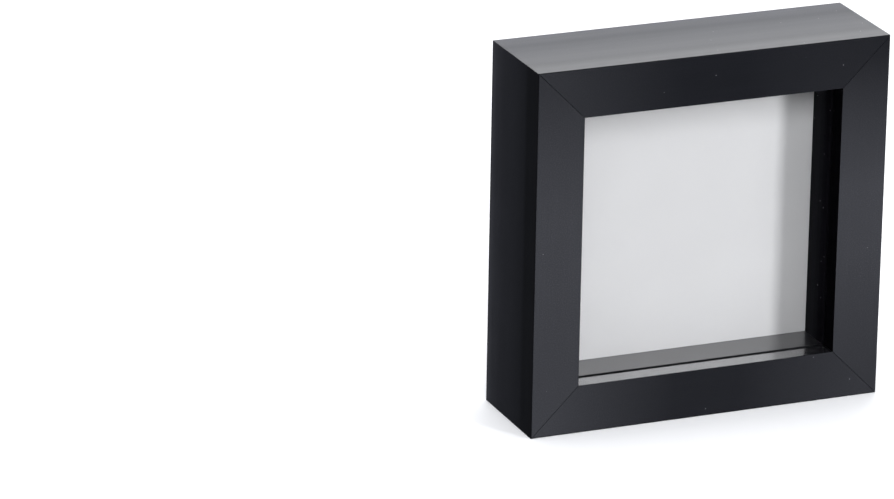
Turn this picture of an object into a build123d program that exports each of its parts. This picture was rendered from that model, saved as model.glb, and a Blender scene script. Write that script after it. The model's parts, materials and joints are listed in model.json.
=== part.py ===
from build123d import *
import os
from math import cos, radians, sin, sqrt

# Square shadow box: four mitred mouldings, glass behind a lip, a spacer ring, a white
# card and a hardboard back with a folding easel leg. Millimetres. X runs to the viewer's
# right, Y from front to back and Z up; the origin is under the middle of the bottom face.

# Moulding
outer = 130.0  # outside width and height
depth = 40.0  # front face to rear face
face = 17.3  # face width, outside to sight edge
lip = 6.6  # lip thickness, front to back
wall = 13.6  # wall thickness behind the lip
edge_round = 0.6  # rounding along the outside edges
sight_round = 0.35  # rounding along the sight edge

# What fills the rebate, from the lip backwards
glass_thick = 1.5
glass_play = 0.4  # gap at each side
spacer_deep = 13.9
spacer_set_back = 0.1  # spacer's face behind the sight edge
spacer_play = 0.2
card_thick = 1.2
card_play = 0.4
board_thick = 3.0
board_play = 0.6
board_round = 1.5

# Leg, hinged on the diagonal so that the box can stand on either of two sides
leg_from_corner = 46.0  # outside corner to hinge pin, along the diagonal
leg_length = 115.0  # hinge pin to foot point
leg_thick = 3.0
leg_gap = 0.4  # folded leg to board
leg_end_gap = 2.8  # hinge pin to the leg's upper end
leg_top_half = 17.0  # half width at the upper end
leg_foot_half = 25.5  # half width at the shoulders above the foot

# Leg hinge, stamped steel
steel = 0.8
pin_radius = 1.0
pin_play = 0.05
pin_lift = 2.8  # pin axis above the board's rear face
knuckle_half = 7.0  # half length of the knuckle along the pin
knuckle_radius = pin_radius + pin_play + steel
ear_gap = 0.2
ear_radius = 2.0
leaf_half = 10.0  # half width of the board leaf
leaf_top = 12.0  # pin to the board leaf's far edge
leaf_near = 3.2  # pin to the board leaf's near edge
leg_leaf_length = 14.5
leg_open = 43.0  # degrees, where the stop tail meets the board leaf
tail_reach = 4.0
tail_lean = 22.8  # degrees under the board's plane when the leg is fully open
rivet_radius = 1.2
rivet_head_radius = 2.1
rivet_head_thick = 0.8
hole_play = 0.05

# Bending tabs that keep the back in
tab_width = 8.0
tab_thick = 0.5
tab_free = 8.5  # blade's length from its fold
tab_root = 6.5  # depth driven into the moulding
tab_proud = 0.2  # root's end proud of the wall
tab_fold = 0.5  # fold line's distance from the wall
tab_lift = 0.3  # blade above the board
tab_along = {"bottom": 30.0, "right": -32.0, "top": 32.0, "left": -30.0}  # off mid-side

# Sawtooth hangers and their nails
hanger_long = 30.0
hanger_high = 7.0
hanger_thick = 0.7
hanger_pad = 5.0
hanger_rise = 1.4
hanger_slope = 2.0
hanger_below_edge = 0.6
tooth_count = 6
tooth_deep = 1.2
nail_radius = 0.6
nail_head_radius = 1.4
nail_head_thick = 0.5
nail_bite = 2.4  # length in the board

# V nails across the mitres
v_leg = 4.0
v_thick = 0.5
v_deep = 10.0
v_places = (6.5, 12.5)  # apex distances from the outside corner, along the mitre

# Worked out from the above
front = -depth / 2
rear = depth / 2
middle = outer / 2
rebate = middle - wall
lip_back = front + lip
glass_back = lip_back + glass_thick
spacer_back = glass_back + spacer_deep
card_back = spacer_back + card_thick
board_back = card_back + board_thick
board_half = rebate - board_play
leg_front = board_back + leg_gap
leg_back = leg_front + leg_thick
pin_y = board_back + pin_lift
pin_x = middle - leg_from_corner / sqrt(2)
pin_z = outer - leg_from_corner / sqrt(2)
down_leg = (-1, 0, -1)
pin_along = (1, 0, -1)

turn_axis = Axis((0, 0, middle), (0, 1, 0))
side_turn = {"bottom": 0, "left": 90, "top": 180, "right": 270}


def slab(half_x, half_z, y_from, y_to, corner=0.0):
    """A flat square plate centred on the box, from one depth to another."""
    plane = Plane(origin=(0, y_from, middle), x_dir=(1, 0, 0), z_dir=(0, 1, 0))
    if corner:
        outline = RectangleRounded(2 * half_x, 2 * half_z, corner)
    else:
        outline = Rectangle(2 * half_x, 2 * half_z)
    return extrude(plane * outline, y_to - y_from)


def prism_xz(points, y_from, y_to):
    """A prism through the depth, from an outline of (x, z) points."""
    outline = make_face(Polyline(*[(x, y_from, z) for x, z in points], close=True))
    return extrude(outline, y_to - y_from, dir=(0, 1, 0))


def across_board(y):
    """Plane parallel to the board at depth y: x runs down the leg, y across it."""
    return Plane(origin=(pin_x, y, pin_z), x_dir=down_leg, z_dir=(0, 1, 0))


def along_pin():
    """Plane square to the hinge pin: x runs down the leg, y points backwards."""
    return Plane(origin=(pin_x, pin_y, pin_z), x_dir=down_leg, z_dir=pin_along)


def to_side(shape, side):
    """Turns a piece made for the bottom side round to another side."""
    return shape.rotate(turn_axis, side_turn[side])


def v_nails():
    """Two V nails across each mitre, driven in from the rear face."""
    nails = []
    for place in v_places:
        apex = place / sqrt(2)
        ax = -middle + apex
        points = [
            (ax, apex),
            (ax - v_leg, apex),
            (ax - v_leg, apex - v_thick),
            (ax - v_thick, apex - v_thick),
            (ax - v_thick, apex - v_leg),
            (ax, apex - v_leg),
        ]
        nails.append(prism_xz(points, rear - v_deep, rear))
    return [nail.rotate(turn_axis, turn) for turn in side_turn.values() for nail in nails]


def rail(side, nails, roots):
    """One mitred moulding of L section, with pockets for its nails and its tab."""
    section = make_face(
        Polyline(
            (0, front, 0),
            (0, rear, 0),
            (0, rear, wall),
            (0, lip_back, wall),
            (0, lip_back, face),
            (0, front, face),
            close=True,
        )
    )
    outside = section.vertices().filter_by(lambda v: v.Z < edge_round)
    section = fillet(outside, edge_round)
    at_sight = section.vertices().filter_by(lambda v: v.Z > face - 0.01)
    section = fillet(at_sight, sight_round)
    bar = extrude(section, middle, dir=(1, 0, 0), both=True)
    mitred = [(-middle, 0), (middle, 0), (middle - face, face), (-middle + face, face)]
    bar = bar & prism_xz(mitred, front, rear)
    bar = to_side(bar, side)
    for piece in nails + roots:
        bar = bar - piece
    return bar


def spacer(side):
    """One mitred strip of the ring that holds the glass off the card."""
    near = spacer_play
    far = face + spacer_set_back - wall
    half = rebate
    z0 = wall
    points = [
        (-half + near, z0 + near),
        (half - near, z0 + near),
        (half - far, z0 + far),
        (-half + far, z0 + far),
    ]
    return to_side(prism_xz(points, glass_back, spacer_back), side)


def tab_blade(side):
    """The free blade of a bending tab, with a round fold edge."""
    fold_z = wall + tab_fold
    y0 = board_back + tab_lift
    x = tab_along[side]
    tip_round = 2.5
    outline = make_face(
        Polyline(
            (x - tab_width / 2, y0, fold_z),
            (x + tab_width / 2, y0, fold_z),
            (x + tab_width / 2, y0, fold_z + tab_free),
            (x - tab_width / 2, y0, fold_z + tab_free),
            close=True,
        )
    )
    tip = outline.vertices().filter_by(lambda v: v.Z > fold_z + 1)
    blade = extrude(fillet(tip, tip_round), tab_thick, dir=(0, 1, 0))
    fold = Plane(origin=(x - tab_width / 2, y0 + tab_thick / 2, fold_z), z_dir=(1, 0, 0))
    blade = blade + extrude(fold * Circle(tab_thick / 2), tab_width)
    return to_side(blade, side)


def tab_roots():
    """The driven ends of the four tabs, inside the mouldings."""
    y0 = board_back + tab_lift
    roots = []
    for side, x in tab_along.items():
        points = [
            (x - tab_width / 2, wall + tab_proud),
            (x - tab_width / 2, wall - tab_root + tab_width / 4),
            (x, wall - tab_root),
            (x + tab_width / 2, wall - tab_root + tab_width / 4),
            (x + tab_width / 2, wall + tab_proud),
        ]
        roots.append(to_side(prism_xz(points, y0, y0 + tab_thick), side))
    return roots


def rivet(u, v, y_from, y_seat):
    """A flat-headed rivet square to the board; its head sits on y_seat."""
    shank = Pos(u, v) * Circle(rivet_radius)
    head = Pos(u, v) * Circle(rivet_head_radius)
    body = extrude(across_board(y_from) * shank, y_seat - y_from)
    cap = extrude(across_board(y_seat) * head, rivet_head_thick)
    crown = cap.edges().filter_by(GeomType.CIRCLE).sort_by(Axis.Y)[-1]
    return body + fillet(crown, rivet_head_thick * 0.6)


def rivet_holes(places, y_from, y_to):
    """Clearance holes for the rivets at (u, v) places."""
    hole = Circle(rivet_radius + hole_play)
    return [extrude(across_board(y_from) * Pos(u, v) * hole, y_to - y_from) for u, v in places]


board_rivet_places = [(-8.2, -5.5), (-8.2, 5.5)]
leg_rivet_places = [(9.5, -3.6), (9.5, 3.6)]


def hanger_nail_places():
    """(x, z) of the nails of both hangers."""
    z = outer - wall - board_play - hanger_below_edge - hanger_high / 2
    x = hanger_long / 2 - hanger_pad / 2
    top = [(-x, z), (x, z)]
    return top + [(z0 - middle, x0 + middle) for x0, z0 in top]


def hanger_nail(x, z):
    """A small flat-headed nail through a hanger's pad into the board."""
    seat = board_back + hanger_thick
    start = Plane(origin=(x, board_back - nail_bite, z), z_dir=(0, 1, 0))
    shank = extrude(start * Circle(nail_radius), nail_bite + hanger_thick)
    seat_plane = Plane(origin=(x, seat, z), z_dir=(0, 1, 0))
    return shank + extrude(seat_plane * Circle(nail_head_radius), nail_head_thick)


def nail_hole(x, z):
    start = Plane(origin=(x, board_back - nail_bite, z), z_dir=(0, 1, 0))
    radius = nail_radius + hole_play
    return extrude(start * Circle(radius), nail_bite + hanger_thick)


def sawtooth_hanger():
    """A bridged steel strip with teeth along its lower edge, under the top moulding."""
    half = hanger_long / 2
    pad = half - hanger_pad
    flat = pad - hanger_slope
    low = board_back
    high = board_back + hanger_rise
    z_top = outer - wall - board_play - hanger_below_edge
    upper = [
        (half, low),
        (pad, low),
        (flat, high),
        (-flat, high),
        (-pad, low),
        (-half, low),
        (-half, low + hanger_thick),
        (-pad, low + hanger_thick),
        (-flat, high + hanger_thick),
        (flat, high + hanger_thick),
        (pad, low + hanger_thick),
        (half, low + hanger_thick),
    ]
    outline = make_face(Polyline(*[(x, y, z_top) for x, y in upper], close=True))
    strip = extrude(outline, hanger_high, dir=(0, 0, -1))
    pitch = 2 * flat / tooth_count
    z_low = z_top - hanger_high
    for i in range(tooth_count):
        x = -flat + (i + 0.5) * pitch
        notch = [(x - pitch * 0.42, z_low), (x, z_low + tooth_deep), (x + pitch * 0.42, z_low)]
        strip = strip - prism_xz(notch, low, rear)
    for x, z in hanger_nail_places()[:2]:
        strip = strip - nail_hole(x, z)
    return strip


def back_board():
    """Hardboard back with its rivet and nail holes."""
    board = slab(board_half, board_half, card_back, board_back, board_round)
    for hole in rivet_holes(board_rivet_places, card_back, board_back):
        board = board - hole
    for x, z in hanger_nail_places():
        board = board - nail_hole(x, z)
    return board


def leg_board():
    """Tapered hardboard leg whose foot is a square point."""
    shoulder = leg_length - leg_foot_half
    outline = make_face(
        Polyline(
            (leg_end_gap, -leg_top_half),
            (shoulder, -leg_foot_half),
            (leg_length, 0),
            (shoulder, leg_foot_half),
            (leg_end_gap, leg_top_half),
            close=True,
        )
    )
    upper = outline.vertices().filter_by(lambda v: v.X < leg_end_gap + 0.01)
    outline = fillet(upper, 3.0)
    foot = outline.vertices().filter_by(lambda v: v.X > leg_length - 0.01)
    outline = fillet(foot, 1.2)
    leg = extrude(across_board(leg_front) * outline, leg_thick)
    for hole in rivet_holes(leg_rivet_places, leg_front, leg_back):
        leg = leg - hole
    return leg


def hinge_board_leaf():
    """Leaf riveted to the board, with two ears that carry the pin."""
    mid = -(leaf_top + leaf_near) / 2
    base = Pos(mid, 0) * RectangleRounded(leaf_top - leaf_near, 2 * leaf_half, 1.5)
    leaf = extrude(across_board(board_back) * base, steel)
    for hole in rivet_holes(board_rivet_places, board_back, board_back + steel):
        leaf = leaf - hole
    ear_at = knuckle_half + ear_gap
    foot_y = board_back - pin_y
    web = make_face(
        Polyline(
            (-leaf_near - 2.0, foot_y),
            (ear_radius, foot_y),
            (ear_radius, 0),
            (-ear_radius, 0),
            (-leaf_near - 2.0, foot_y + steel),
            close=True,
        )
    )
    outline = web + Circle(ear_radius) - Circle(pin_radius + 0.02)
    for start in (ear_at, -ear_at - steel):
        leaf = leaf + extrude(along_pin().offset(start) * outline, steel)
    return leaf


def hinge_leg_leaf():
    """Leaf riveted to the leg, with the knuckle round the pin and the stop tail."""
    plate_low = leg_back - pin_y
    plate = make_face(
        Polyline(
            (0.6, plate_low),
            (leg_leaf_length, plate_low),
            (leg_leaf_length, plate_low + steel),
            (0.6, plate_low + steel),
            close=True,
        )
    )
    lean = radians(leg_open - tail_lean)
    start = pin_radius + pin_play + 0.2
    along = (-cos(lean), sin(lean))
    side = (sin(lean) * steel / 2, cos(lean) * steel / 2)
    tail = make_face(
        Polyline(
            (along[0] * start + side[0], along[1] * start + side[1]),
            (along[0] * tail_reach + side[0], along[1] * tail_reach + side[1]),
            (along[0] * tail_reach - side[0], along[1] * tail_reach - side[1]),
            (along[0] * start - side[0], along[1] * start - side[1]),
            close=True,
        )
    )
    outline = Circle(knuckle_radius) + plate + tail - Circle(pin_radius + pin_play)
    leaf = extrude(along_pin() * outline, knuckle_half, both=True)
    for hole in rivet_holes(leg_rivet_places, leg_back, leg_back + steel):
        leaf = leaf - hole
    return leaf


def hinge_pin():
    """Headed pin through the ears and the knuckle."""
    half = knuckle_half + ear_gap + steel + 0.1
    pin = extrude(along_pin() * Circle(pin_radius), half, both=True)
    for start in (half, -half - 0.6):
        pin = pin + extrude(along_pin().offset(start) * Circle(pin_radius + 0.5), 0.6)
    return pin


def build():
    """Every node's shape by name; lists are groups of separate solids."""
    nails = v_nails()
    roots = tab_roots()
    nodes = {"corner_v_nails": nails, "flex_tab_roots": roots}
    for side in side_turn:
        nodes[f"rail_{side}"] = rail(side, nails, roots)
        nodes[f"spacer_{side}"] = spacer(side)
        nodes[f"flex_tab_{side}"] = tab_blade(side)
    glass_half = rebate - glass_play
    card_half = rebate - card_play
    nodes["glass_pane"] = slab(glass_half, glass_half, lip_back, glass_back)
    nodes["white_card"] = slab(card_half, card_half, spacer_back, card_back)
    nodes["back_board"] = back_board()
    nodes["leg"] = leg_board()
    nodes["hinge_board_leaf"] = hinge_board_leaf()
    nodes["hinge_leg_leaf"] = hinge_leg_leaf()
    nodes["hinge_pin"] = hinge_pin()
    leaf_back = board_back + steel
    nodes["board_rivets"] = [rivet(u, v, card_back, leaf_back) for u, v in board_rivet_places]
    nodes["leg_rivets"] = [rivet(u, v, leg_front, leg_back + steel) for u, v in leg_rivet_places]
    hanger = sawtooth_hanger()
    nodes["hanger_top"] = hanger
    across = Plane(origin=(0, 0, middle), z_dir=(1, 0, -1))
    nodes["hanger_side"] = hanger.mirror(across)
    nodes["hanger_nails"] = [hanger_nail(x, z) for x, z in hanger_nail_places()]
    return nodes


def write(nodes):
    os.makedirs("parts", exist_ok=True)
    for name, shape in nodes.items():
        if isinstance(shape, list):
            shape = Compound(children=shape)
        export_step(shape, f"parts/{name}.step")


write(build())
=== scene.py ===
import json
import math

import bmesh
import bpy
from mathutils import Matrix, Vector


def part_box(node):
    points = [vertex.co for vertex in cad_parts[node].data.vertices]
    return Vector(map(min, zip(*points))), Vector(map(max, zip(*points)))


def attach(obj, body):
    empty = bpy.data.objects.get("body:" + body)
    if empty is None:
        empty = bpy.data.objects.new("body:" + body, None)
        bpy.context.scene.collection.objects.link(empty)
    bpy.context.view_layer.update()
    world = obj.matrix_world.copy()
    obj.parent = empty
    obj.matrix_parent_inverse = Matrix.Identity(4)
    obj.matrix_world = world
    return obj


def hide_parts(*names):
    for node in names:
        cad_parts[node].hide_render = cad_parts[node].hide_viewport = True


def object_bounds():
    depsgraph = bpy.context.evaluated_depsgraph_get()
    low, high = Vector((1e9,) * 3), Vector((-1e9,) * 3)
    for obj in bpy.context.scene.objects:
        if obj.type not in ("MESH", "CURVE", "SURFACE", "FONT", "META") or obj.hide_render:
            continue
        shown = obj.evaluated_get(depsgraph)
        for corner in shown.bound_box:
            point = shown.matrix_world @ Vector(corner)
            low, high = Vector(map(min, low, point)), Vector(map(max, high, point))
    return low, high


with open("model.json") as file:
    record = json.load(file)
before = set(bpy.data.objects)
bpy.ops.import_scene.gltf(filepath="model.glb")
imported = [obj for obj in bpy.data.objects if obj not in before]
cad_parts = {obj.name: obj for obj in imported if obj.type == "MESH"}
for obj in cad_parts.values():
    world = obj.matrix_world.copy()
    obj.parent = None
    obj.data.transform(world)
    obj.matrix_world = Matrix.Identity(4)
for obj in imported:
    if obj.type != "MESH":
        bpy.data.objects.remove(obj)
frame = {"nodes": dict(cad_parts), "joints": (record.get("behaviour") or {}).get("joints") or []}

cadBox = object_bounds()
mm = 0.001
middleZ = cadBox[1].z / 2  # height of the box's centre
turnForSide = {"bottom": 0, "left": 90, "top": 180, "right": 270}

# where things lie from front to back, taken from the frame
outerHalf = cadBox[1].x
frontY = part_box("rail_top")[0].y
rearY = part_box("rail_top")[1].y
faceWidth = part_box("rail_bottom")[1].z
glassLow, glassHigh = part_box("glass_pane")
cardLow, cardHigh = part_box("white_card")
boardLow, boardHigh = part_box("back_board")
legLow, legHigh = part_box("leg")
legJoint = [j for j in frame["joints"] if j["name"] == "leg_hinge"][0]
pinPoint = Vector(legJoint["pos_m"])
downLeg = Vector((-1, 0, -1)).normalized()

print("frame loaded")


# making and finishing pieces
def finishPiece(bm, name, body, replaced, finishes, smoothAngle=35):
    bmesh.ops.remove_doubles(bm, verts=bm.verts, dist=0.002 * mm)
    bmesh.ops.recalc_face_normals(bm, faces=bm.faces)
    mesh = bpy.data.meshes.new(name)
    bm.to_mesh(mesh)
    bm.free()
    for finish in finishes:
        mesh.materials.append(finish)
    mesh.shade_smooth()
    mesh.set_sharp_from_angle(angle=math.radians(smoothAngle))
    piece = bpy.data.objects.new(name, mesh)
    bpy.context.scene.collection.objects.link(piece)
    evened = piece.modifiers.new("evenedNormals", "WEIGHTED_NORMAL")
    evened.weight = 80
    evened.keep_sharp = True
    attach(piece, body)
    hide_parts(*replaced)
    return piece


def bevelEdges(bm, edges, width, segments=2):
    bmesh.ops.bevel(
        bm, geom=list(edges), offset=width, offset_type="OFFSET", affect="EDGES",
        segments=segments, profile=0.5, material=-1, clamp_overlap=True,
    )


def sharpEdges(bm, angle=40):
    return [e for e in bm.edges if e.is_manifold and e.calc_face_angle(0) > math.radians(angle)]


def extrudeOutline(bm, points, push):
    # closed outline of points pushed into a solid
    face = bm.faces.new([bm.verts.new(p) for p in points])
    grown = bmesh.ops.extrude_face_region(bm, geom=[face])
    moved = [g for g in grown["geom"] if isinstance(g, bmesh.types.BMVert)]
    bmesh.ops.translate(bm, verts=moved, vec=push)
    bmesh.ops.recalc_face_normals(bm, faces=bm.faces)


def turnToSide(bm, side):
    bmesh.ops.rotate(
        bm, verts=bm.verts, cent=(0, 0, middleZ),
        matrix=Matrix.Rotation(math.radians(turnForSide[side]), 3, "Y"),
    )


def cutMitres(bm, halfLength, gap):
    # both ends at 45 degrees, pulled back by a hair so the joint shows as a line
    for sign in (-1, 1):
        bmesh.ops.bisect_plane(
            bm, geom=bm.verts[:] + bm.edges[:] + bm.faces[:],
            plane_co=(sign * (halfLength - gap), 0, 0), plane_no=(sign, 0, 1), clear_outer=True,
        )
        ends = [e for e in bm.edges if e.is_boundary]
        bmesh.ops.holes_fill(bm, edges=ends, sides=0)


def stripUv(bm, name):
    # u runs along the strip and v around it, both in metres
    layer = bm.loops.layers.uv.new(name)
    for face in bm.faces:
        flat = abs(face.normal.y) > abs(face.normal.z)
        for loop in face.loops:
            co = loop.vert.co
            loop[layer].uv = (co.x * 10, (co.z if flat else co.y + 0.3) * 10)


def newFinish(name):
    finish = bpy.data.materials.new(name)
    finish.use_nodes = True
    tree = finish.node_tree
    return finish, tree, tree.nodes["Principled BSDF"]


def node(tree, kind, **settings):
    made = tree.nodes.new(kind)
    for key, value in settings.items():
        if key in made.inputs:
            made.inputs[key].default_value = value
        else:
            setattr(made, key, value)
    return made


def ramp(tree, source, stops):
    made = tree.nodes.new("ShaderNodeValToRGB")
    made.color_ramp.elements[0].position = stops[0][0]
    made.color_ramp.elements[0].color = (*stops[0][1], 1)
    made.color_ramp.elements[1].position = stops[-1][0]
    made.color_ramp.elements[1].color = (*stops[-1][1], 1)
    for place, colour in stops[1:-1]:
        made.color_ramp.elements.new(place).color = (*colour, 1)
    tree.links.new(source, made.inputs["Fac"])
    return made.outputs["Color"]


def spread(tree, source, low, high, fromLow=0.3, fromHigh=0.7):
    made = node(tree, "ShaderNodeMapRange")
    made.inputs["From Min"].default_value = fromLow
    made.inputs["From Max"].default_value = fromHigh
    made.inputs["To Min"].default_value = low
    made.inputs["To Max"].default_value = high
    tree.links.new(source, made.inputs["Value"])
    return made.outputs["Result"]


def stretchedNoise(tree, coords, scale, stretch, detail=3.0, roughness=0.55):
    mapping = node(tree, "ShaderNodeMapping", Scale=stretch)
    tree.links.new(coords, mapping.inputs["Vector"])
    noise = node(tree, "ShaderNodeTexNoise", Scale=scale, Detail=detail, Roughness=roughness)
    tree.links.new(mapping.outputs["Vector"], noise.inputs["Vector"])
    return noise.outputs["Fac"]


def blendColour(tree, amount, first, second, how="MIX"):
    made = node(tree, "ShaderNodeMix", data_type="RGBA", blend_type=how)
    if isinstance(amount, (int, float)):
        made.inputs["Factor"].default_value = amount
    else:
        tree.links.new(amount, made.inputs["Factor"])
    for socket, value in ((made.inputs[6], first), (made.inputs[7], second)):
        if isinstance(value, tuple):
            socket.default_value = (*value, 1)
        else:
            tree.links.new(value, socket)
    return made.outputs[2]


def dustSpecks(tree, coords, density, size, rarity):
    # a few pale specks: cells whose random value is high, within a small distance
    cells = node(tree, "ShaderNodeTexVoronoi", Scale=density, Randomness=1.0)
    tree.links.new(coords, cells.inputs["Vector"])
    near = node(tree, "ShaderNodeMath", operation="LESS_THAN")
    near.inputs[1].default_value = size
    tree.links.new(cells.outputs["Distance"], near.inputs[0])
    apart = node(tree, "ShaderNodeSeparateColor")
    tree.links.new(cells.outputs["Color"], apart.inputs["Color"])
    chosen = node(tree, "ShaderNodeMath", operation="GREATER_THAN")
    chosen.inputs[1].default_value = rarity
    tree.links.new(apart.outputs["Red"], chosen.inputs[0])
    both = node(tree, "ShaderNodeMath", operation="MULTIPLY")
    tree.links.new(near.outputs[0], both.inputs[0])
    tree.links.new(chosen.outputs[0], both.inputs[1])
    return both.outputs[0]


def addBump(tree, shader, heights, strength, distance):
    bump = node(tree, "ShaderNodeBump", Strength=strength, Distance=distance)
    tree.links.new(heights, bump.inputs["Height"])
    tree.links.new(bump.outputs["Normal"], shader.inputs["Normal"])


def along(tree, coords, direction, start=0.0):
    # how far a point lies along a direction, plus a start value
    dot = node(tree, "ShaderNodeVectorMath", operation="DOT_PRODUCT")
    dot.inputs[1].default_value = direction
    tree.links.new(coords, dot.inputs[0])
    total = node(tree, "ShaderNodeMath", operation="ADD")
    total.inputs[1].default_value = start
    tree.links.new(dot.outputs["Value"], total.inputs[0])
    return total.outputs[0]


def paintedSheenAcrossDepth(tree, coords, settings, bands):
    # painted sheen: the tone is painted paler from the front edge to the rear edge, standing in for a grazing
    # reflection
    place = along(tree, coords, (0, 1 / (rearY - frontY), 0), 0.5)
    wander = node(tree, "ShaderNodeMath", operation="MULTIPLY_ADD")
    wander.inputs[1].default_value = 0.10
    tree.links.new(bands, wander.inputs[0])
    tree.links.new(place, wander.inputs[2])
    return ramp(tree, wander.outputs[0], settings["paintedDepthSheen"])


def paintedSheenTowardCorners(tree, coords, uv, tone, settings):
    # painted sheen and painted shade: the fronts are painted palest toward the lower left corner and darkest
    # toward the upper right, so two rails meet in one tone at a mitre; the level rails also get a painted lift
    # toward the lower left
    place = along(tree, coords, (-2.5, 0, -3.65), 0.75)
    paintedLift = spread(tree, place, 0.0, settings["paintedLowSheen"], 0.3, 0.75)
    tone = blendColour(tree, paintedLift, tone, settings["paintedCornerSheen"])
    paintedCornerMix = spread(tree, place, 0.0, 1.0, 0.0, 1.0)
    paintedCornerTone = blendColour(tree, paintedCornerMix, settings["paintedCornerShade"], settings["paintedCornerSheen"])
    fromMiddle = node(tree, "ShaderNodeMath", operation="ABSOLUTE")
    tree.links.new(along(tree, uv, (1, 0, 0)), fromMiddle.inputs[0])
    nearCorner = spread(tree, fromMiddle.outputs[0], 0.0, 1.0, 0.12, 0.58)
    return blendColour(tree, nearCorner, tone, paintedCornerTone)


def blackLacquer(name, settings):
    finish, tree, shader = newFinish(name)
    uv = node(tree, "ShaderNodeUVMap", uv_map="alongRail").outputs["UV"]
    coords = node(tree, "ShaderNodeTexCoord").outputs["Object"]
    lines = stretchedNoise(tree, uv, settings["lineScale"], (0.008, 1.0, 1.0), 4.0, 0.6)
    bands = stretchedNoise(tree, uv, settings["bandScale"], (0.012, 1.0, 1.0), 2.0, 0.5)
    clouds = stretchedNoise(tree, coords, 45.0, (1.0, 1.0, 1.0), 3.0, 0.5)
    grain = stretchedNoise(tree, coords, 2600.0, (1.0, 1.0, 1.0), 2.0, 0.7)
    # painted sheen: the tone gets paler toward the rear edge
    if "paintedDepthSheen" in settings:
        tone = paintedSheenAcrossDepth(tree, coords, settings, bands)
        tone = blendColour(tree, spread(tree, lines, 0.0, 0.3), tone, settings["dark"])
    else:
        tone = ramp(tree, lines, [(0.30, settings["dark"]), (0.70, settings["light"])])
        tone = blendColour(tree, spread(tree, bands, 0.0, 0.6), tone, settings["dark"])
    tone = blendColour(tree, spread(tree, clouds, 0.0, 0.25), tone, settings["light"])
    # painted sheen and painted shade toward the corners
    if "paintedCornerSheen" in settings:
        tone = paintedSheenTowardCorners(tree, coords, uv, tone, settings)
    pitting = ramp(tree, grain, [(0.35, (0.86, 0.86, 0.86)), (0.50, (1.0, 1.0, 1.0)), (0.72, (1.6, 1.6, 1.6))])
    tone = blendColour(tree, 1.0, tone, pitting, "MULTIPLY")
    specks = dustSpecks(tree, coords, *settings["dust"])
    tone = blendColour(tree, specks, tone, settings["speck"])
    tree.links.new(tone, shader.inputs["Base Color"])
    uneven = blendColour(tree, 0.75, lines, bands)
    uneven = spread(tree, uneven, settings["rough"] - 0.025, settings["rough"] + 0.035)
    # smoother near the front
    handled = spread(tree, along(tree, uv, (0, 1, 0)), settings["frontPolish"], 0.06, 2.8, 3.2)
    total = node(tree, "ShaderNodeMath", operation="ADD")
    tree.links.new(uneven, total.inputs[0])
    tree.links.new(handled, total.inputs[1])
    tree.links.new(total.outputs[0], shader.inputs["Roughness"])
    shader.inputs["IOR"].default_value = settings["ior"]
    shader.inputs["Specular IOR Level"].default_value = settings["specular"]
    shader.inputs["Coat Weight"].default_value = settings["coat"]
    shader.inputs["Coat Roughness"].default_value = settings["rough"] * 0.6
    shader.inputs["Coat IOR"].default_value = settings["coatIor"]
    shader.inputs["Anisotropic"].default_value = settings["anisotropic"]
    shader.inputs["Anisotropic Rotation"].default_value = 0.25
    tangent = node(tree, "ShaderNodeTangent", direction_type="UV_MAP", uv_map="alongRail")
    tree.links.new(tangent.outputs["Tangent"], shader.inputs["Tangent"])
    addBump(tree, shader, lines, settings["bump"], 0.02 * mm)
    return finish


railFinish = {
    "lineScale": 420.0, "bandScale": 16.0, "dark": (0.0068, 0.0071, 0.0092), "light": (0.0115, 0.0120, 0.0154),
    "dust": (420.0, 0.08, 0.945),  # cells per metre, speck size, rarity
    "speck": (0.20, 0.20, 0.21), "rough": 0.44, "frontPolish": -0.1,
    "ior": 1.45, "specular": 0.5, "coat": 0.0, "coatIor": 1.5, "anisotropic": 0.6, "bump": 0.3,
}
# painted sheen: the outer, rear and inner faces are painted paler toward the rear edge
sidePaintedSheenFinish = {
    **railFinish, "paintedDepthSheen": [
        (0.05, (0.0030, 0.0030, 0.0045)), (0.27, (0.0038, 0.0038, 0.0055)), (0.34, (0.0125, 0.0130, 0.0170)),
        (0.55, (0.0215, 0.0222, 0.0280)), (0.78, (0.0270, 0.0278, 0.0345)), (0.92, (0.0400, 0.0410, 0.0495)),
        (1.0, (0.0600, 0.0610, 0.0720)),
    ],
}
# painted sheen: corner tones, painted darkest at the upper right corner and palest at the lower left
paintedCornerTones = {"paintedCornerShade": (0.0072, 0.0075, 0.0097), "paintedCornerSheen": (0.0445, 0.0453, 0.0515)}
levelFrontPaintedSheen = {**railFinish, **paintedCornerTones, "paintedLowSheen": 0.13}
# painted sheen: the upright rails' fronts are a lighter copy of the level rails' black
uprightFrontPaintedSheen = {
    **railFinish, **paintedCornerTones, "paintedLowSheen": 0.0,
    "dark": (0.0370, 0.0378, 0.0430), "light": (0.0460, 0.0468, 0.0535),
}
spacerFinish = {
    **railFinish, "lineScale": 520.0, "bandScale": 22.0, "dark": (0.008, 0.008, 0.009),
    "light": (0.014, 0.014, 0.016), "rough": 0.31, "frontPolish": 0.0,
    "ior": 2.0, "coat": 0.6, "coatIor": 2.2, "anisotropic": 0.4, "bump": 0.15,
}
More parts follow.
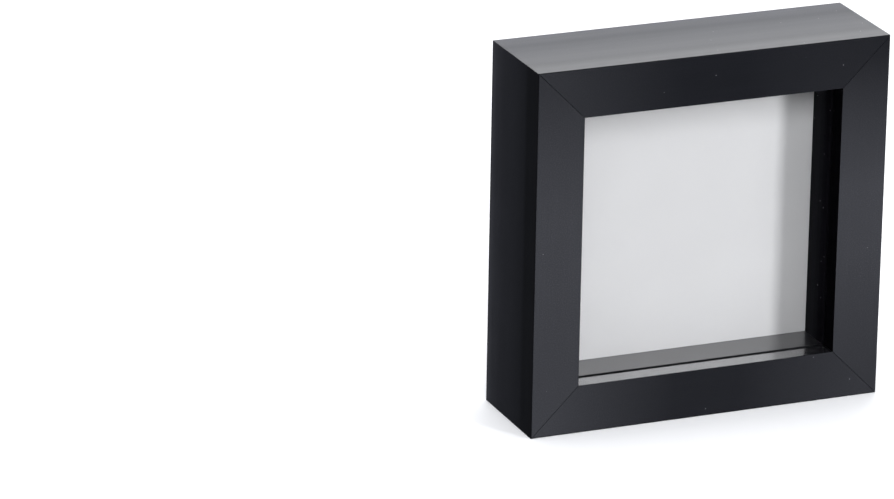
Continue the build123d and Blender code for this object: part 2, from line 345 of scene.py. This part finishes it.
# painted shade: darker, dull copies of the black for the left and right spacers and sight edges
dullPaintedShadeFinish = {
    **railFinish, "dark": (0.0045, 0.0043, 0.0058), "light": (0.0075, 0.0072, 0.0092),
    "rough": 0.6, "specular": 0.0, "anisotropic": 0.0, "bump": 0.2,
}
lipPaintedShadeFinish = {
    **dullPaintedShadeFinish, "dark": (0.0016, 0.0015, 0.0020), "light": (0.0032, 0.0030, 0.0040),
}
mouldingBlackPaintedSheen = blackLacquer("mouldingBlackPaintedSheen", sidePaintedSheenFinish)
frontBlackPaintedSheen = blackLacquer("frontBlackPaintedSheen", levelFrontPaintedSheen)
frontPaintedSheen = blackLacquer("frontPaintedSheen", uprightFrontPaintedSheen)
spacerBlack = blackLacquer("spacerBlack", spacerFinish)
spacerDullPaintedShade = blackLacquer("spacerDullPaintedShade", dullPaintedShadeFinish)
sightEdgeDullPaintedShade = blackLacquer("sightEdgeDullPaintedShade", lipPaintedShadeFinish)
sightEdgeBlack = blackLacquer("sightEdgeBlack", {
    **spacerFinish, "rough": 0.22, "ior": 2.9, "coat": 1.0, "coatIor": 3.0, "anisotropic": 0.0, "bump": 0.0,
})


def cardWhite(name, settings):
    finish, tree, shader = newFinish(name)
    coords = node(tree, "ShaderNodeTexCoord").outputs["Object"]
    fibres = stretchedNoise(tree, coords, 900.0, (1.0, 1.0, 0.35), 4.0, 0.6)
    clouds = stretchedNoise(tree, coords, 28.0, (1.0, 1.0, 1.0), 3.0, 0.5)
    tone = ramp(tree, clouds, [(0.3, settings["shade"]), (0.7, settings["paper"])])
    tone = blendColour(tree, spread(tree, fibres, 0.0, 0.12), tone, settings["shade"])
    specks = dustSpecks(tree, coords, *settings["dust"])
    tone = blendColour(tree, specks, tone, settings["speck"])
    tree.links.new(tone, shader.inputs["Base Color"])
    shader.inputs["Roughness"].default_value = 0.85
    shader.inputs["Specular IOR Level"].default_value = 0.3
    addBump(tree, shader, fibres, 0.25, 0.03 * mm)
    return finish


cardFinish = cardWhite("cardWhite", {
    "paper": (0.765, 0.748, 0.752), "shade": (0.728, 0.711, 0.716),
    "dust": (300.0, 0.11, 0.985), "speck": (0.42, 0.42, 0.43),
})


def hardboard(name, settings):
    finish, tree, shader = newFinish(name)
    coords = node(tree, "ShaderNodeTexCoord").outputs["Object"]
    fibres = stretchedNoise(tree, coords, 1150.0, (1.0, 1.0, 0.85), 5.0, 0.65)
    flecks = stretchedNoise(tree, coords, 1500.0, (1.0, 1.0, 1.0), 2.0, 0.5)
    clouds = stretchedNoise(tree, coords, 60.0, (1.0, 1.0, 1.0), 3.0, 0.5)
    tone = ramp(tree, fibres, [(0.32, settings["dark"]), (0.55, settings["body"]), (0.74, settings["pale"])])
    tone = blendColour(tree, spread(tree, clouds, 0.0, 0.4), tone, settings["dark"])
    tone = blendColour(tree, spread(tree, flecks, 0.0, 0.4, 0.6, 0.75), tone, settings["pale"])
    tree.links.new(tone, shader.inputs["Base Color"])
    tree.links.new(spread(tree, fibres, 0.62, 0.82), shader.inputs["Roughness"])
    shader.inputs["Specular IOR Level"].default_value = 0.35
    addBump(tree, shader, fibres, 0.5, 0.08 * mm)
    return finish


boardBrown = hardboard("boardBrown", {
    "dark": (0.27, 0.155, 0.100), "body": (0.39, 0.235, 0.160), "pale": (0.52, 0.34, 0.245),
})
legBrown = hardboard("legBrown", {
    "dark": (0.36, 0.205, 0.150), "body": (0.50, 0.300, 0.225), "pale": (0.63, 0.41, 0.32),
})
cutEdgePale = hardboard("cutEdgePale", {
    "dark": (0.46, 0.32, 0.26), "body": (0.58, 0.43, 0.36), "pale": (0.70, 0.56, 0.48),
})


def platedMetal(name, settings):
    finish, tree, shader = newFinish(name)
    coords = node(tree, "ShaderNodeTexCoord").outputs["Object"]
    rolled = stretchedNoise(tree, coords, 2200.0, (1.0, 0.25, 0.08), 3.0, 0.6)
    stains = stretchedNoise(tree, coords, 240.0, (1.0, 1.0, 1.0), 4.0, 0.6)
    tone = ramp(tree, stains, [(0.3, settings["dull"]), (0.62, settings["bright"])])
    tree.links.new(tone, shader.inputs["Base Color"])
    shader.inputs["Metallic"].default_value = settings.get("metallic", 0.7)
    tree.links.new(
        spread(tree, stains, settings["rough"] + 0.1, settings["rough"] - 0.05), shader.inputs["Roughness"]
    )
    addBump(tree, shader, rolled, 0.25, 0.02 * mm)
    return finish


hingeZinc = platedMetal("hingeZinc", {"bright": (0.62, 0.61, 0.58), "dull": (0.45, 0.45, 0.44), "rough": 0.3})
rivetSteel = platedMetal("rivetSteel", {"bright": (0.66, 0.66, 0.65), "dull": (0.5, 0.5, 0.5), "rough": 0.26})
tabBlued = platedMetal("tabBlued", {"bright": (0.20, 0.205, 0.22), "dull": (0.12, 0.12, 0.13), "rough": 0.36})
hangerBrass = platedMetal("hangerBrass", {
    "bright": (0.74, 0.57, 0.27), "dull": (0.55, 0.40, 0.18), "rough": 0.26,
})


def clearGlass(name, settings):
    finish = bpy.data.materials.new(name)
    finish.use_nodes = True
    tree = finish.node_tree
    tree.nodes.remove(tree.nodes["Principled BSDF"])
    out = tree.nodes["Material Output"]
    through = node(tree, "ShaderNodeBsdfTransparent", Color=(*settings["tint"], 1))
    shine = node(tree, "ShaderNodeBsdfGlossy", Color=(1, 1, 1, 1), Roughness=settings["rough"])
    facing = node(tree, "ShaderNodeLayerWeight", Blend=0.5)
    steep = node(tree, "ShaderNodeMath", operation="POWER")
    steep.inputs[1].default_value = settings["steepness"]
    tree.links.new(facing.outputs["Facing"], steep.inputs[0])
    mix = node(tree, "ShaderNodeMixShader")
    shineAmount = spread(tree, steep.outputs[0], settings["straightOn"], 1.0, 0.0, 1.0)
    tree.links.new(shineAmount, mix.inputs[0])  # the same from both sides of the pane
    tree.links.new(through.outputs[0], mix.inputs[1])
    tree.links.new(shine.outputs[0], mix.inputs[2])
    tree.links.new(mix.outputs[0], out.inputs["Surface"])
    return finish


glassClear = clearGlass("glassClear", {
    "tint": (0.985, 0.99, 0.988), "rough": 0.03, "straightOn": 0.035, "steepness": 5.0,
})
print("finishes made")


moulding = {
    "outerRound": 0.55 * mm, "sightRound": 0.3 * mm, "innerRound": 0.15 * mm,
    "mitreGap": 0.03 * mm, "mitreBevel": 0.07 * mm,
}
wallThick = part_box("spacer_bottom")[0].z - 0.2 * mm
lipBack = glassLow.y


def makeRail(side):
    bm = bmesh.new()
    profile = [
        (frontY, 0), (rearY, 0), (rearY, wallThick),
        (lipBack, wallThick), (lipBack, faceWidth), (frontY, faceWidth),
    ]
    half = outerHalf + 1 * mm
    extrudeOutline(bm, [(-half, y, z) for y, z in profile], (2 * half, 0, 0))
    long = [e for e in bm.edges if abs(e.verts[0].co.x - e.verts[1].co.x) > half]
    outside = [e for e in long if e.verts[0].co.z < 1e-6]
    sight = [e for e in long if e.verts[0].co.z > faceWidth - 1e-6]
    bevelEdges(bm, outside, moulding["outerRound"], 3)
    bevelEdges(bm, [e for e in sight if e.is_valid], moulding["sightRound"], 2)
    rear = [
        e for e in bm.edges
        if abs(e.verts[0].co.x - e.verts[1].co.x) > half
        and abs(e.verts[0].co.y - rearY) < 1e-6 and abs(e.verts[0].co.z - wallThick) < 1e-6
    ]
    bevelEdges(bm, rear, moulding["innerRound"], 2)
    cutMitres(bm, outerHalf, moulding["mitreGap"])
    bm.normal_update()
    caps = [f for f in bm.faces if abs(f.normal.x) > 0.5]
    rims = {e for f in caps for e in f.edges}
    bevelEdges(bm, rims, moulding["mitreBevel"], 1)
    bm.normal_update()
    stripUv(bm, "alongRail")
    sightZ = faceWidth - moulding["sightRound"] - 1e-5
    for face in bm.faces:
        if face.normal.z > 0.9 and face.calc_center_median().z > sightZ:
            face.material_index = 1
        elif face.normal.y < -0.9:
            face.material_index = 2
    # the upright rails take the painted sheen on their fronts and the painted shade on their sight edges
    upright = side in ("left", "right")
    turnToSide(bm, side)
    return finishPiece(
        bm, f"moulding_{side}", "box", [f"rail_{side}"],
        [mouldingBlackPaintedSheen, sightEdgeDullPaintedShade, frontPaintedSheen] if upright else [mouldingBlackPaintedSheen, sightEdgeBlack, frontBlackPaintedSheen],
    )


for side in turnForSide:
    makeRail(side)
print("mouldings made")


# the ring between the glass and the card
spacerStrip = {"edgeRound": 0.1 * mm, "mitreGap": 0.03 * mm}
spacerLow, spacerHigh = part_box("spacer_bottom")


def makeSpacer(side):
    bm = bmesh.new()
    profile = [
        (spacerLow.y, spacerLow.z), (spacerHigh.y, spacerLow.z),
        (spacerHigh.y, spacerHigh.z), (spacerLow.y, spacerHigh.z),
    ]
    half = outerHalf + 1 * mm
    extrudeOutline(bm, [(-half, y, z) for y, z in profile], (2 * half, 0, 0))
    long = [
        e for e in bm.edges
        if abs(e.verts[0].co.x - e.verts[1].co.x) > half and e.verts[0].co.z > spacerHigh.z - 1e-6
    ]
    bevelEdges(bm, long, spacerStrip["edgeRound"], 2)
    cutMitres(bm, outerHalf, spacerStrip["mitreGap"])
    bm.normal_update()
    stripUv(bm, "alongRail")
    turnToSide(bm, side)
    # the left and right spacers take the darker painted shade copy
    finish = spacerDullPaintedShade if side in ("left", "right") else spacerBlack
    return finishPiece(bm, f"spacer_strip_{side}", "box", [f"spacer_{side}"], [finish])


for side in turnForSide:
    makeSpacer(side)
print("spacer ring made")


# a flat sheet between two corners of its box
def makeSheet(name, low, high, sheet, replaced, finishes):
    bm = bmesh.new()
    bmesh.ops.create_cube(bm, size=1)
    bmesh.ops.scale(bm, verts=bm.verts, vec=high - low)
    bmesh.ops.translate(bm, verts=bm.verts, vec=(low + high) / 2)
    if sheet["cornerRound"]:
        corners = [e for e in bm.edges if abs(e.verts[0].co.y - e.verts[1].co.y) > 1e-6]
        bevelEdges(bm, corners, sheet["cornerRound"], 4)
    bevelEdges(bm, sharpEdges(bm), sheet["edgeRound"], 2)
    bm.normal_update()
    if len(finishes) > 1:
        for face in bm.faces:
            face.material_index = 0 if abs(face.normal.y) > 0.5 else 1
    return finishPiece(bm, name, "box", replaced, finishes)


glass = {"cornerRound": 0, "edgeRound": 0.15 * mm}
card = {"cornerRound": 0, "edgeRound": 0.12 * mm}
board = {"cornerRound": 1.5 * mm, "edgeRound": 0.3 * mm}
makeSheet("glass_sheet", glassLow, glassHigh, glass, ["glass_pane"], [glassClear])
makeSheet("card_sheet", cardLow, cardHigh, card, ["white_card"], [cardFinish])
makeSheet("board_sheet", boardLow, boardHigh, board, ["back_board"], [boardBrown, cutEdgePale])
print("glass, card and board made")


legShape = {
    "length": 115 * mm, "topGap": 2.8 * mm, "topHalf": 17 * mm, "footHalf": 25.5 * mm,
    "topRound": 3.0 * mm, "footRound": 1.2 * mm, "shoulderRound": 0.8 * mm, "edgeRound": 0.35 * mm,
}


def onBoard(u, v, y):
    # u runs down the leg from the pin and v across it, at depth y
    across = Vector((-1, 0, 1)).normalized()
    spot = pinPoint + downLeg * u + across * v
    return Vector((spot.x, y, spot.z))


def makeLeg():
    s = legShape
    shoulder = s["length"] - s["footHalf"]
    outline = [
        (s["topGap"], -s["topHalf"]), (shoulder, -s["footHalf"]), (s["length"], 0),
        (shoulder, s["footHalf"]), (s["topGap"], s["topHalf"]),
    ]
    bm = bmesh.new()
    extrudeOutline(bm, [onBoard(u, v, legLow.y) for u, v in outline], (0, legHigh.y - legLow.y, 0))

    def uprightAt(places):
        found = []
        for e in bm.edges:
            a, b = e.verts
            if abs(a.co.y - b.co.y) > 1e-4:
                for u, v in places:
                    if (a.co - onBoard(u, v, a.co.y)).length < 1e-5:
                        found.append(e)
        return found

    bevelEdges(bm, uprightAt([outline[0], outline[4]]), s["topRound"], 6)
    bevelEdges(bm, uprightAt([outline[2]]), s["footRound"], 4)
    bevelEdges(bm, uprightAt([outline[1], outline[3]]), s["shoulderRound"], 3)
    bevelEdges(bm, sharpEdges(bm, 50), s["edgeRound"], 2)
    bm.normal_update()
    for face in bm.faces:
        face.material_index = 0 if abs(face.normal.y) > 0.5 else 1
    return finishPiece(bm, "easel_leg", "stand_leg", ["leg"], [legBrown, cutEdgePale])


makeLeg()
print("leg made")


# stamped metal keeps the frame's own shape, with its edges eased
def easedCopy(nodeName, name, body, slotName, finish, width):
    bm = bmesh.new()
    bm.from_mesh(frame["nodes"][nodeName].data)
    bmesh.ops.remove_doubles(bm, verts=bm.verts, dist=0.004 * mm)
    bmesh.ops.dissolve_limit(bm, angle_limit=math.radians(2), verts=bm.verts, edges=bm.edges)
    bevelEdges(bm, sharpEdges(bm, 45), width, 2)
    return finishPiece(bm, name, body, [nodeName], [finish], 30)


stampings = {
    # node: shown name, body, slot, finish, eased edge
    "hinge_board_leaf": ("board_leaf", "box", "hinge_steel", hingeZinc, 0.12 * mm),
    "hinge_leg_leaf": ("leg_leaf", "stand_leg", "hinge_steel", hingeZinc, 0.1 * mm),
    "hinge_pin": ("pin", "box", "hinge_steel", rivetSteel, 0.12 * mm),
    "hanger_top": ("top_hanger", "box", "hanger_brass", hangerBrass, 0.1 * mm),
    "hanger_side": ("side_hanger", "box", "hanger_brass", hangerBrass, 0.1 * mm),
}
for side in turnForSide:
    stampings[f"flex_tab_{side}"] = (f"tab_blade_{side}", f"tab_{side}", "tab_steel", tabBlued, 0.1 * mm)
for nodeName, settings in stampings.items():
    easedCopy(nodeName, *settings)
print("hinge, hangers and tabs made")


def turnedHead(bm, centre, shankRadius, headRadius, headHigh, bottomY, seatY):
    # half outline as (radius, y), spun round a line through the centre along Y
    outline = [(0, bottomY), (shankRadius, bottomY), (shankRadius, seatY), (headRadius * 0.97, seatY)]
    steps = 6
    for i in range(steps + 1):
        turn = math.radians(90 * i / steps)
        radius = headRadius * math.cos(turn) ** 0.7 if i < steps else 0
        outline.append((radius, seatY + headHigh * (0.25 + 0.75 * math.sin(turn))))
    verts = [bm.verts.new((centre.x + r, y, centre.z)) for r, y in outline]
    edges = [bm.edges.new(pair) for pair in zip(verts, verts[1:])]
    bmesh.ops.spin(
        bm, geom=verts + edges, cent=(centre.x, 0, centre.z), axis=(0, 1, 0),
        angle=math.tau, steps=24, use_merge=True, use_duplicate=False,
    )


def makeHeads(name, body, nodeName, finish, places, sizes):
    bm = bmesh.new()
    for place in places:
        turnedHead(bm, place, *sizes)
    bmesh.ops.remove_doubles(bm, verts=bm.verts, dist=0.002 * mm)
    return finishPiece(bm, name, body, [nodeName], [finish], 40)


rivets = {
    "shank": 1.2 * mm, "head": 2.1 * mm, "high": 0.8 * mm, "leaf": 0.8 * mm,
    "onBoard": (-8.2 * mm, 5.5 * mm), "onLeg": (9.5 * mm, 3.6 * mm),  # down the leg from the pin, and to each side
}
boardRivetPlaces = [onBoard(rivets["onBoard"][0], sign * rivets["onBoard"][1], 0) for sign in (-1, 1)]
legRivetPlaces = [onBoard(rivets["onLeg"][0], sign * rivets["onLeg"][1], 0) for sign in (-1, 1)]
makeHeads(
    "rivets_in_board", "box", "board_rivets", rivetSteel, boardRivetPlaces,
    (rivets["shank"], rivets["head"], rivets["high"], boardLow.y, boardHigh.y + rivets["leaf"]),
)
makeHeads(
    "rivets_in_leg", "stand_leg", "leg_rivets", rivetSteel, legRivetPlaces,
    (rivets["shank"], rivets["head"], rivets["high"], legLow.y, legHigh.y + rivets["leaf"]),
)
hangerNails = {
    "shank": 0.6 * mm, "head": 1.4 * mm, "high": 0.5 * mm, "inset": 2.5 * mm, "strip": 0.7 * mm, "deep": 2.4 * mm,
}
topLow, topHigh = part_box("hanger_top")
sideLow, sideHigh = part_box("hanger_side")
nailPlaces = [
    Vector((topLow.x + hangerNails["inset"], 0, (topLow.z + topHigh.z) / 2)),
    Vector((topHigh.x - hangerNails["inset"], 0, (topLow.z + topHigh.z) / 2)),
    Vector(((sideLow.x + sideHigh.x) / 2, 0, sideLow.z + hangerNails["inset"])),
    Vector(((sideLow.x + sideHigh.x) / 2, 0, sideHigh.z - hangerNails["inset"])),
]
makeHeads(
    "nails_in_hangers", "box", "hanger_nails", hangerBrass, nailPlaces,
    (hangerNails["shank"], hangerNails["head"], hangerNails["high"],
     boardHigh.y - hangerNails["deep"], boardHigh.y + hangerNails["strip"]),
)
print("rivets and nails made")


# two across each mitre, a hair proud of the rear face
vNail = {
    "leg": 4.0 * mm, "thick": 0.5 * mm, "deep": 10 * mm, "proud": 0.08 * mm,
    "edgeRound": 0.06 * mm, "places": (6.5 * mm, 12.5 * mm),
}


def makeVNails():
    bm = bmesh.new()
    s = vNail
    for side in turnForSide:
        one = bmesh.new()
        for place in s["places"]:
            apex = place / math.sqrt(2)
            ax = -outerHalf + apex
            outline = [
                (ax, apex), (ax - s["leg"], apex), (ax - s["leg"], apex - s["thick"]),
                (ax - s["thick"], apex - s["thick"]), (ax - s["thick"], apex - s["leg"]), (ax, apex - s["leg"]),
            ]
            extrudeOutline(one, [(x, rearY - s["deep"], z) for x, z in outline], (0, s["deep"] + s["proud"], 0))
        turnToSide(one, side)
        held = bpy.data.meshes.new("vNailHold")
        one.to_mesh(held)
        one.free()
        bm.from_mesh(held)
        bpy.data.meshes.remove(held)
    bevelEdges(bm, [e for e in sharpEdges(bm) if e.calc_length() < 5 * mm], s["edgeRound"], 1)
    return finishPiece(bm, "v_nails", "box", ["corner_v_nails"], [rivetSteel])


makeVNails()

rootNode = frame["nodes"]["flex_tab_roots"]  # mostly inside the mouldings: the frame's own shape stays
rootNode.data.materials.clear()
rootNode.data.materials.append(tabBlued)
print("corner nails made")


studio = {
    "floorTone": (0.96, 0.96, 0.96), "floorBounce": (0.32, 0.32, 0.32), "skyTone": (0.96, 0.96, 0.97),
    "ambient": 0.15, "ambientShine": 0.062, "fadeFrom": 0.3, "fadeTo": 1.0,
    "lights": [
        # name, place, aim, width, height, power, seen in gloss
        ("backTop", (0.55, 1.45, 0.95), (0, 0, 0.1), 1.6, 1.1, 18.5, True),
        ("keyRight", (0.77, -1.35, 0.42), (0, 0, 0.07), 0.26, 0.45, 15, False),
        ("frontFill", (-0.35, -1.6, 1.05), (0, 0, 0.07), 1.0, 0.7, 19, False),
        ("leftFill", (-1.5, 0.3, 0.5), (0, 0, 0.07), 1.0, 0.8, 6, False),
        ("overhead", (0.0, 0.1, 2.2), (0, 0, 0), 2.6, 2.6, 50, False),
    ],
}


def makeFloor():
    bm = bmesh.new()
    bmesh.ops.create_grid(bm, x_segments=8, y_segments=8, size=9)
    mesh = bpy.data.meshes.new("floor")
    bm.to_mesh(mesh)
    bm.free()
    finish, tree, shader = newFinish("floorPale")
    coords = node(tree, "ShaderNodeTexCoord").outputs["Object"]
    soft = stretchedNoise(tree, coords, 3.0, (1, 1, 1))
    low = tuple(v * 0.985 for v in studio["floorTone"])
    tree.links.new(ramp(tree, soft, [(0.3, low), (0.7, studio["floorTone"])]), shader.inputs["Base Color"])
    shader.inputs["Roughness"].default_value = 0.9
    shader.inputs["Specular IOR Level"].default_value = 0.1
    path = node(tree, "ShaderNodeLightPath")
    outward = node(tree, "ShaderNodeVectorMath", operation="LENGTH")
    tree.links.new(coords, outward.inputs[0])
    horizon = node(tree, "ShaderNodeEmission", Color=(*studio["skyTone"], 1), Strength=1.0)
    fade = node(tree, "ShaderNodeMixShader")  # the floor runs out into the backdrop's tone
    distance = spread(tree, outward.outputs["Value"], 0.0, 1.0, studio["fadeFrom"], studio["fadeTo"])
    tree.links.new(distance, fade.inputs[0])
    tree.links.new(shader.outputs[0], fade.inputs[1])
    tree.links.new(horizon.outputs[0], fade.inputs[2])
    darker = node(tree, "ShaderNodeBsdfDiffuse", Color=(*studio["floorBounce"], 1))
    mix = node(tree, "ShaderNodeMixShader")
    tree.links.new(path.outputs["Is Camera Ray"], mix.inputs[0])
    tree.links.new(darker.outputs[0], mix.inputs[1])
    tree.links.new(fade.outputs[0], mix.inputs[2])
    tree.links.new(mix.outputs[0], tree.nodes["Material Output"].inputs["Surface"])
    mesh.materials.append(finish)
    floor = bpy.data.objects.new("floor", mesh)
    bpy.context.scene.collection.objects.link(floor)
    floor.visible_glossy = False


def makeSky():
    world = bpy.data.worlds.new("studioSky")
    world.use_nodes = True
    tree = world.node_tree
    back = tree.nodes["Background"]
    path = node(tree, "ShaderNodeLightPath")
    seen = node(tree, "ShaderNodeBackground", Color=(*studio["skyTone"], 1), Strength=1.0)
    shine = node(tree, "ShaderNodeBackground", Color=(0.84, 0.90, 1, 1), Strength=studio["ambientShine"])
    back.inputs["Color"].default_value = (0.93, 0.96, 1.0, 1)
    back.inputs["Strength"].default_value = studio["ambient"]
    glossMix = node(tree, "ShaderNodeMixShader")
    tree.links.new(path.outputs["Is Glossy Ray"], glossMix.inputs[0])
    tree.links.new(back.outputs[0], glossMix.inputs[1])
    tree.links.new(shine.outputs[0], glossMix.inputs[2])
    mix = node(tree, "ShaderNodeMixShader")
    tree.links.new(path.outputs["Is Camera Ray"], mix.inputs[0])
    tree.links.new(glossMix.outputs[0], mix.inputs[1])
    tree.links.new(seen.outputs[0], mix.inputs[2])
    tree.links.new(mix.outputs[0], tree.nodes["World Output"].inputs["Surface"])
    bpy.context.scene.world = world


def makeLights():
    for name, place, aim, width, height, power, inGloss in studio["lights"]:
        data = bpy.data.lights.new(name, "AREA")
        data.shape = "RECTANGLE"
        data.size = width
        data.size_y = height
        data.energy = power
        data.color = (0.96, 0.97, 1.0)
        light = bpy.data.objects.new(name, data)
        light.location = place
        light.rotation_euler = (Vector(aim) - Vector(place)).to_track_quat("-Z", "Y").to_euler()
        light.visible_camera = False
        light.visible_glossy = inGloss
        bpy.context.scene.collection.objects.link(light)


cameraSet = {
    "azimuth": -22.558, "elevation": 19.572, "roll": 0.932, "distance": 2.0084,
    "aim": (-0.0771, 0.0277, 0.0538), "lens": 236.335, "sensor": 36,
}


def makeCamera():
    s = cameraSet
    a, e = math.radians(s["azimuth"]), math.radians(s["elevation"])
    back = Vector((math.sin(a) * math.cos(e), -math.cos(a) * math.cos(e), math.sin(e)))
    turned = (-back).to_track_quat("-Z", "Y").to_matrix() @ Matrix.Rotation(math.radians(s["roll"]), 3, "Z")
    data = bpy.data.cameras.new("camera")
    data.lens = s["lens"]
    data.sensor_width = s["sensor"]
    camera = bpy.data.objects.new("camera", data)
    camera.matrix_world = Matrix.Translation(Vector(s["aim"]) + back * s["distance"]) @ turned.to_4x4()
    bpy.context.scene.collection.objects.link(camera)
    bpy.context.scene.camera = camera


makeFloor()
makeSky()
makeLights()
makeCamera()
bpy.context.scene.view_settings.view_transform = "Standard"
print("floor, light and camera made")
